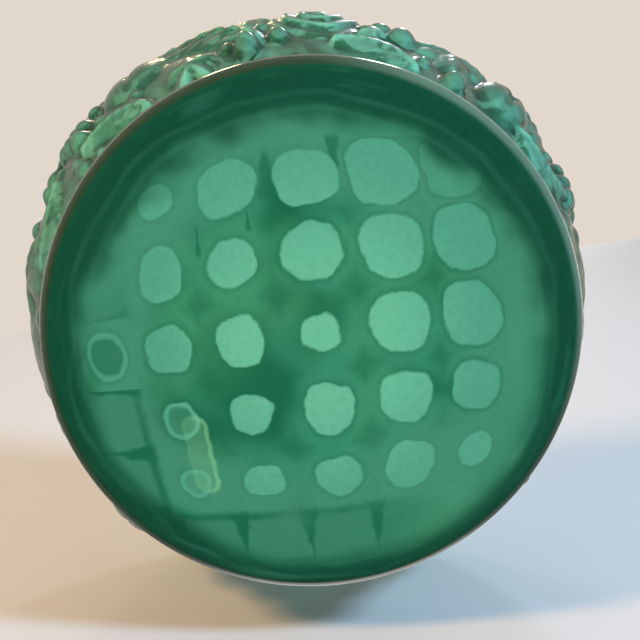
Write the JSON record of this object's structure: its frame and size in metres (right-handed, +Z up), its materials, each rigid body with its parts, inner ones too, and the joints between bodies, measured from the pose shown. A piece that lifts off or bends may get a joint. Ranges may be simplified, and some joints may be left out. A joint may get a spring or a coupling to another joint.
{
  "type": "powder jar",
  "caption": "Round green pressed-glass powder jar: a bowl with a flat polished base and moulded vine relief, closed by a domed lid that lifts off by a grape-bunch knob.",
  "frame": {"origin": "middle of the flat base, in the plane that the jar stands on", "axes": "+Z up along the jar's axis, from the base to the knob; +X and +Y point to no particular feature, as the body of the jar is round"},
  "size_m": [0.1146, 0.1174, 0.0718],
  "materials": {
    "bowl_glass": "polished marbled green glass, nearly opaque",
    "lid_glass": "polished marbled green glass, nearly opaque"
  },
  "bodies": {
    "bowl": {"bowl": "bowl_glass"},
    "lid": {"lid": "lid_glass"}
  },
  "joints": [
    {"name": "lid_lift", "type": "slide", "parent": "bowl", "child": "lid", "axis": [0, 0, 1], "range_m": [0, 0.09]}
  ]
}
